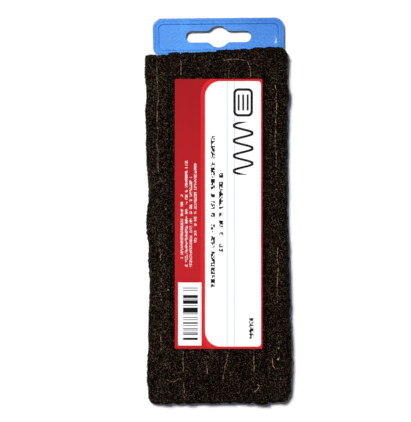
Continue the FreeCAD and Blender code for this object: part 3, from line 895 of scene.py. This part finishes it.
def fibre_paths(start, dice):
    """A short curly path from each root."""
    count = len(start)
    heading = dice.uniform(0, 2 * math.pi, count)
    curl = dice.uniform(-1.5, 1.5, count)
    step = dice.uniform(0.09, 0.22, count) * MM
    paths = [start]
    for link in range(FUZZ_LINKS):
        climb = 0.5 * math.sin(math.pi * (link + 0.5) / FUZZ_LINKS) - 0.16
        way = np.column_stack([np.cos(heading), np.sin(heading), np.full(count, climb)])
        paths.append(paths[-1] + way * step[:, None])
        heading = heading + curl
    return np.stack(paths, axis=1)


def fuzz(number):
    """Short curly fibres out of a strip's nap, on the crest, the cut ends and an open side."""
    dice = np.random.default_rng(500 + number)
    start, sides = fibre_roots(number, dice)
    paths = fibre_paths(start, dice)
    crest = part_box(f"felt_pleat_{number}")[1][2]
    near_crest = paths[:, :, 2].max(axis=1) > crest - 2 * MM
    covered = near_crest & under_label(paths[:, :, 0], paths[:, :, 1]).any(axis=1)
    paths, sides = paths[~covered], sides[~covered]
    count = len(paths)
    radii = dice.uniform(0.04, 0.085, count) * MM
    verts, walls, caps = tubes(paths, radii[:, None], FIBRE_SIDES, UNLIKE_FIBRES)
    piece = new_piece(f"fuzz_{number}", verts, walls.tolist() + caps.tolist(), None, "felt")
    for material in FUZZ:
        piece.data.materials.append(material)
    # Painted light: the open sides and most of the first strip take the paler tones.
    pale = sides | ((number == 1) & (dice.random(count) < 0.8))
    painted_light_tone = dice.choice(len(FUZZ), count, p=SIDE_PAINTED_LIGHT_SHARES)
    crest_tone = dice.choice(len(FUZZ), count, p=CREST_SHARES)
    tone = np.where(pale, painted_light_tone, crest_tone)
    tones = np.concatenate([np.repeat(tone, FUZZ_LINKS * FIBRE_SIDES), tone, tone])
    piece.data.polygons.foreach_set("material_index", tones)


for number in range(1, STRIPS + 1):
    fuzz(number)

# -------- label

LABEL_TURN = math.radians(-0.55)
LABEL_WIDTH = 42.8 * MM
LABEL_LENGTH = 132.0 * MM
LABEL_THICKNESS = 0.2 * MM
LABEL_CORNER = 0.5 * MM
LABEL_STEPS = (86, 132)

# The print in mm from the label's left edge (u) and its foot (v). Areas have a left, right, low
# and high side, which may lie off the label, and some a corner radius.
FIELD_FADE = (60, 132)
STRIPE = (12.6, 60.0, -1.0, 133.0, 9.0)
BORDER = (20.0, 43.0, -1.0, 133.0)
PANEL_LEFT = (14.8, 60.0, 1.1, 130.9, 7.5)
PANEL_RIGHT = (-20.0, 42.1, 1.1, 130.9, 1.6)
RULES = (25.4, 29.0)
RULE_WIDTH = 0.35
CODE_PATCH = (1.6, 13.0, 1.6, 32.4)
CODE_BARS = (4.0, 11.2, 4.0, 30.0)
BAR_STEP = 0.36
# Rows of small marks: middle, low end, high end and seed; and half the height of the marks.
PALE_ROWS = ((3.4, 44, 76, 2), (5.6, 40, 92, 5), (7.8, 40, 84, 9), (10.0, 52, 92, 14))
PALE_ROW_HALF = 0.62
INK_ROWS = ((18.6, 30, 104, 31), (22.6, 46, 86, 36), (37.4, 5, 15, 40))
INK_ROW_HALF = 1.0
WAVE_PITCH = 7.4
WAVE_REACH = 4.4
WAVE_MIDDLE = 33.4
WAVE_HALF_STROKE = 0.58
WAVE_AREA = (20.0, 42.0, 85.1, 111.0)
DRAWN_BACK = (28.6, 38.2, 113.6, 127.4, 2.4)
DRAWN_FACE = (29.8, 37.0, 114.8, 126.2, 1.4)
DRAWN_RIBS = (30.7, 36.2, 116.6, 124.4)
RIB_START, RIB_PITCH, RIB_SHARE = 30.75, 2.2, 0.42


def label_mesh():
    """A thin paper sheet with slightly rounded corners that dips between the crests."""
    half_x, half_y = LABEL_WIDTH / 2, LABEL_LENGTH / 2
    grid_x, grid_y = grid((-half_x, -half_y), (half_x, half_y), LABEL_STEPS)
    corner_x = np.maximum(np.abs(grid_x) - (half_x - LABEL_CORNER), 0)
    corner_y = np.maximum(np.abs(grid_y) - (half_y - LABEL_CORNER), 0)
    reach = np.hypot(corner_x, corner_y)
    pull = np.where(reach > LABEL_CORNER, LABEL_CORNER / np.maximum(reach, 1e-9), 1)
    x = np.sign(grid_x) * (np.abs(grid_x) - corner_x * (1 - pull))
    y = np.sign(grid_y) * (np.abs(grid_y) - corner_y * (1 - pull))
    centre_x, centre_y = ((LABEL_LOW[k] + LABEL_HIGH[k]) / 2 for k in (0, 1))
    turned_x = centre_x + x * math.cos(LABEL_TURN) - y * math.sin(LABEL_TURN)
    turned_y = centre_y + x * math.sin(LABEL_TURN) + y * math.cos(LABEL_TURN)
    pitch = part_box("felt_pleat_2")[0][0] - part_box("felt_pleat_1")[0][0]
    valley = (turned_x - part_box("felt_pleat_2")[0][0]) / pitch
    dip = np.clip(np.cos(2 * math.pi * valley), 0, 1) ** 4
    top = LABEL_HIGH[2] - 0.10 * MM * dip + 0.05 * MM * wander(turned_y, 15 * MM, 9)
    verts, faces = sheet_mesh(turned_x, turned_y, top, top - LABEL_THICKNESS, LABEL_STEPS)
    uvs = np.column_stack([x + half_x, y + half_y]) / MM
    return verts, faces, np.vstack([uvs, uvs])


def round_mask(tree, u, v, left, right, low, high, radius):
    """A filled rectangle with round corners."""
    sides = []
    for value, first, last in ((u, left, right), (v, low, high)):
        away = maths(tree, "ABSOLUTE", maths(tree, "SUBTRACT", value, (first + last) / 2))
        past = maths(tree, "SUBTRACT", away, (last - first) / 2 - radius)
        sides.append(maths(tree, "MAXIMUM", past, 0.0))
    squares = [times(tree, side, side) for side in sides]
    return maths(tree, "LESS_THAN", maths(tree, "ADD", *squares), radius * radius)


def random_steps(tree, value, step, seed):
    """A value from 0 to 1 that changes at every step along a line."""
    node = add(tree, "ShaderNodeTexWhiteNoise", noise_dimensions="1D")
    whole = maths(tree, "FLOOR", maths(tree, "DIVIDE", value, step))
    tree.links.new(maths(tree, "ADD", whole, seed), node.inputs["W"])
    return node.outputs["Value"]


def small_marks(tree, u, v, middle, half, low, high, seed):
    """One row of meaningless small marks in word-long groups, where a line of print would be."""
    inside = box_mask(tree, u, v, middle - half, middle + half, low, high)
    words = maths(tree, "GREATER_THAN", random_steps(tree, v, half * 1.9, seed), 0.16)
    cells = add(tree, "ShaderNodeTexWhiteNoise", noise_dimensions="2D")
    place = add(tree, "ShaderNodeCombineXYZ")
    tree.links.new(maths(tree, "FLOOR", maths(tree, "DIVIDE", u, half * 0.67)), place.inputs[0])
    tree.links.new(maths(tree, "FLOOR", maths(tree, "DIVIDE", v, half * 0.62)), place.inputs[1])
    tree.links.new(place.outputs[0], cells.inputs["Vector"])
    marks = maths(tree, "GREATER_THAN", cells.outputs["Value"], 0.38)
    return times(tree, inside, times(tree, words, marks))


def chalk_wave(tree, u, v):
    """A bold wavy stroke, as chalk leaves on a board."""
    steepness = WAVE_REACH * 2 * math.pi / WAVE_PITCH
    turn = times(tree, v, 2 * math.pi / WAVE_PITCH)
    middle = maths(tree, "MULTIPLY_ADD", maths(tree, "SINE", turn), WAVE_REACH, WAVE_MIDDLE)
    slope = times(tree, maths(tree, "COSINE", turn), steepness)
    slant = maths(tree, "SQRT", maths(tree, "MULTIPLY_ADD", slope, slope, 1.0))
    half_stroke = times(tree, slant, WAVE_HALF_STROKE)
    away = maths(tree, "ABSOLUTE", maths(tree, "SUBTRACT", u, middle))
    stroke = maths(tree, "LESS_THAN", away, half_stroke)
    return times(tree, stroke, box_mask(tree, u, v, *WAVE_AREA))


def red_ground(tree, u, v):
    """The red field, darker towards the head, with a brighter stripe and border."""
    field = add(tree, "ShaderNodeMapRange")
    tree.links.new(v, field.inputs["Value"])
    for limit, place in zip(("From Min", "From Max"), FIELD_FADE):
        field.inputs[limit].default_value = place
    colour = mix_colours(tree, field.outputs[0], shade(193, 36, 43), shade(167, 30, 36))
    colour = mix_colours(tree, round_mask(tree, u, v, *STRIPE), colour, shade(218, 41, 45))
    return mix_colours(tree, box_mask(tree, u, v, *BORDER), colour, shade(207, 39, 48))


def ruled_panel(tree, u, v, colour, white):
    """The white panel with its two pale rules, printed on a colour."""
    left, right = (round_mask(tree, u, v, *area) for area in (PANEL_LEFT, PANEL_RIGHT))
    panel = times(tree, left, right)
    colour = mix_colours(tree, panel, colour, white)
    for place in RULES:
        rule = times(tree, between(tree, u, place, place + RULE_WIDTH), panel)
        colour = mix_colours(tree, rule, colour, shade(190, 222, 240))
    return colour


def mark_rows(tree, u, v, rows, half, colour, ink):
    """Rows of small marks, printed on a colour."""
    for middle, low, high, seed in rows:
        marks = small_marks(tree, u, v, middle, half, low, high, seed)
        colour = mix_colours(tree, marks, colour, ink)
    return colour


def plain_bars(tree, u, v, colour, white, ink):
    """Bars of random width on a white patch, which can't be scanned."""
    colour = mix_colours(tree, box_mask(tree, u, v, *CODE_PATCH), colour, white)
    bars = maths(tree, "GREATER_THAN", random_steps(tree, v, BAR_STEP, 23), 0.5)
    bars = times(tree, bars, box_mask(tree, u, v, *CODE_BARS))
    return mix_colours(tree, bars, colour, ink)


def drawn_eraser(tree, u, v, colour, white, ink):
    """An outline of a board eraser with its ribs, printed on a colour."""
    colour = mix_colours(tree, round_mask(tree, u, v, *DRAWN_BACK), colour, ink)
    colour = mix_colours(tree, round_mask(tree, u, v, *DRAWN_FACE), colour, white)
    run = maths(tree, "DIVIDE", maths(tree, "SUBTRACT", u, RIB_START), RIB_PITCH)
    on_rib = maths(tree, "LESS_THAN", maths(tree, "FRACT", run), RIB_SHARE)
    ribs = times(tree, on_rib, box_mask(tree, u, v, *DRAWN_RIBS))
    return mix_colours(tree, ribs, colour, ink)


def label_material():
    """A ruled panel on red, with plain bars, small marks, a chalk wave and a drawn eraser."""
    material, tree, shader = nodes_of("printed_paper")
    uv = add(tree, "ShaderNodeUVMap", uv_map="print")
    u, v, _ = parts_of(tree, uv.outputs[0])
    white, ink = shade(253, 253, 253), shade(24, 22, 24)
    colour = ruled_panel(tree, u, v, red_ground(tree, u, v), white)
    colour = mark_rows(tree, u, v, PALE_ROWS, PALE_ROW_HALF, colour, shade(236, 200, 202))
    colour = plain_bars(tree, u, v, colour, white, ink)
    colour = mark_rows(tree, u, v, INK_ROWS, INK_ROW_HALF, colour, ink)
    colour = mix_colours(tree, chalk_wave(tree, u, v), colour, ink)
    colour = drawn_eraser(tree, u, v, colour, white, ink)
    finish(tree, shader, colour, roughness=0.6, specular=0.04)
    grain = texture_noise(tree, object_place(tree), 2600)
    bump(tree, shader, grain, 0.15, 0.04 * MM)
    return material


verts, faces, print_uvs = label_mesh()
label = new_piece("paper_label", verts, faces, "label", "label_paper", smooth=False)
layer = label.data.uv_layers.new(name="print")
corners = np.empty(len(label.data.loops), dtype=np.int64)
label.data.loops.foreach_get("vertex_index", corners)
layer.data.foreach_set("uv", print_uvs[corners].ravel())
label.data.materials.append(label_material())

# -------- base cloth, glue, back


def dress(node, material):
    """A CAD piece whose shape is right gets its finish."""
    piece = frame["nodes"][node]
    piece.data.materials.clear()
    piece.data.materials.append(material)


CLOTH_STEPS = (60, 150)
CLOTH_INSET = 0.02 * MM


def cloth_mesh():
    """The base cloth, a little frayed at its sides."""
    low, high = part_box("base_cloth")
    x, y = grid(low, high, CLOTH_STEPS)
    from_side = np.minimum(x - low[0], high[0] - x)
    from_end = np.minimum(y - low[1], high[1] - y)
    at_edge = np.minimum(from_side, from_end) < 0.5 * MM
    flat = np.column_stack([x, y, np.zeros(len(x))])
    fray = 0.25 * MM * np.abs(noise(flat, 1.3 * MM, 200)) * at_edge
    top, bottom = (np.full(len(x), z) for z in (high[2] - CLOTH_INSET, low[2] + CLOTH_INSET))
    return sheet_mesh(x - np.sign(x) * fray, y, top, bottom, CLOTH_STEPS)


cloth = new_piece("woven_cloth", *cloth_mesh(), "base_cloth", "base_cloth", smooth=False)
cloth.data.materials.append(cloth_material())
dress("back_plate", plastic_material())
dress("glue_bed", glue_material())

# -------- floor, light and camera


def seen_directly(tree):
    """1 for rays that show a surface to the eye, and 0 for those that carry its light."""
    path = add(tree, "ShaderNodeLightPath").outputs
    seen = maths(tree, "MAXIMUM", path["Is Camera Ray"], path["Is Glossy Ray"])
    return maths(tree, "MAXIMUM", seen, path["Is Transmission Ray"])


def floor():
    """White to the eye; as light, dark, so that little comes back up."""
    bpy.ops.mesh.primitive_plane_add(size=6)
    plane = bpy.context.active_object
    plane.name = "floor"
    material, tree, shader = nodes_of("white_floor")
    tree.nodes.remove(shader)
    choice = add(tree, "ShaderNodeMixShader")
    tree.links.new(seen_directly(tree), choice.inputs[0])
    for index, colour in ((1, (0.14, 0.14, 0.14, 1)), (2, (1, 0.986, 0.972, 1))):
        paint = add(tree, "ShaderNodeBsdfDiffuse")
        dial(paint, Color=colour)
        tree.links.new(paint.outputs[0], choice.inputs[index])
    tree.links.new(choice.outputs[0], tree.nodes["Material Output"].inputs["Surface"])
    plane.data.materials.append(material)


WALL_HEIGHT = 0.3
WALL_LIGHT, SKY_LIGHT = 1.3, 0.04


def world():
    """White to the eye; as light, a dim sky above paler walls that fill in the sides."""
    scene_world = bpy.data.worlds.new("studio")
    bpy.context.scene.world = scene_world
    scene_world.use_nodes = True
    tree = scene_world.node_tree
    background = tree.nodes["Background"]
    direction = add(tree, "ShaderNodeTexCoord")
    height = maths(tree, "ABSOLUTE", parts_of(tree, direction.outputs["Generated"])[2])
    walls = maths(tree, "SUBTRACT", 1.0, maths(tree, "DIVIDE", height, WALL_HEIGHT))
    walls = maths(tree, "MAXIMUM", walls, 0.0)
    light = maths(tree, "MULTIPLY_ADD", walls, WALL_LIGHT, SKY_LIGHT)
    strength = maths(tree, "MAXIMUM", seen_directly(tree), light)
    tree.links.new(strength, background.inputs["Strength"])
    dial(background, Color=(1, 1, 1, 1))


def sun(name, strength, angle, lean, heading):
    """A sun that leans from the vertical towards a heading, counted from +X."""
    data = bpy.data.lights.new(name, "SUN")
    data.energy = strength
    data.angle = math.radians(angle)
    lamp = placed(name, data)
    lamp.rotation_euler = (0, math.radians(lean), math.radians(heading))
    lamp.visible_glossy = False


def gloss_panel():
    """A soft panel up and to the left that only the shine of a surface sees."""
    data = bpy.data.lights.new("gloss_panel", "AREA")
    data.energy = 20
    data.size = 0.7
    lamp = placed("gloss_panel", data)
    lamp.location = (-0.9, 0.9, 1.1)
    lamp.rotation_euler = (math.radians(49), 0, math.radians(225))
    lamp.visible_diffuse = False


CAMERA_DISTANCE = 8.0
CAMERA_TURN = math.radians(-0.55)
VIEW_HEIGHT = 206.4 * MM
VIEW_MIDDLE = (-6.2 * MM, 0.06 * MM)


def camera():
    """Straight above the felt and far off, so that all of it shows from the top."""
    data = bpy.data.cameras.new("camera")
    data.lens = data.sensor_width * CAMERA_DISTANCE / VIEW_HEIGHT
    data.clip_end = 20
    eye = placed("camera", data)
    eye.location = (*VIEW_MIDDLE, CREST + CAMERA_DISTANCE)
    eye.rotation_euler = (0, 0, CAMERA_TURN)
    bpy.context.scene.camera = eye


floor()
world()
sun("key", strength=3.04, angle=2.6, lean=3.9, heading=127)
gloss_panel()
camera()
bpy.context.scene.view_settings.view_transform = "Standard"
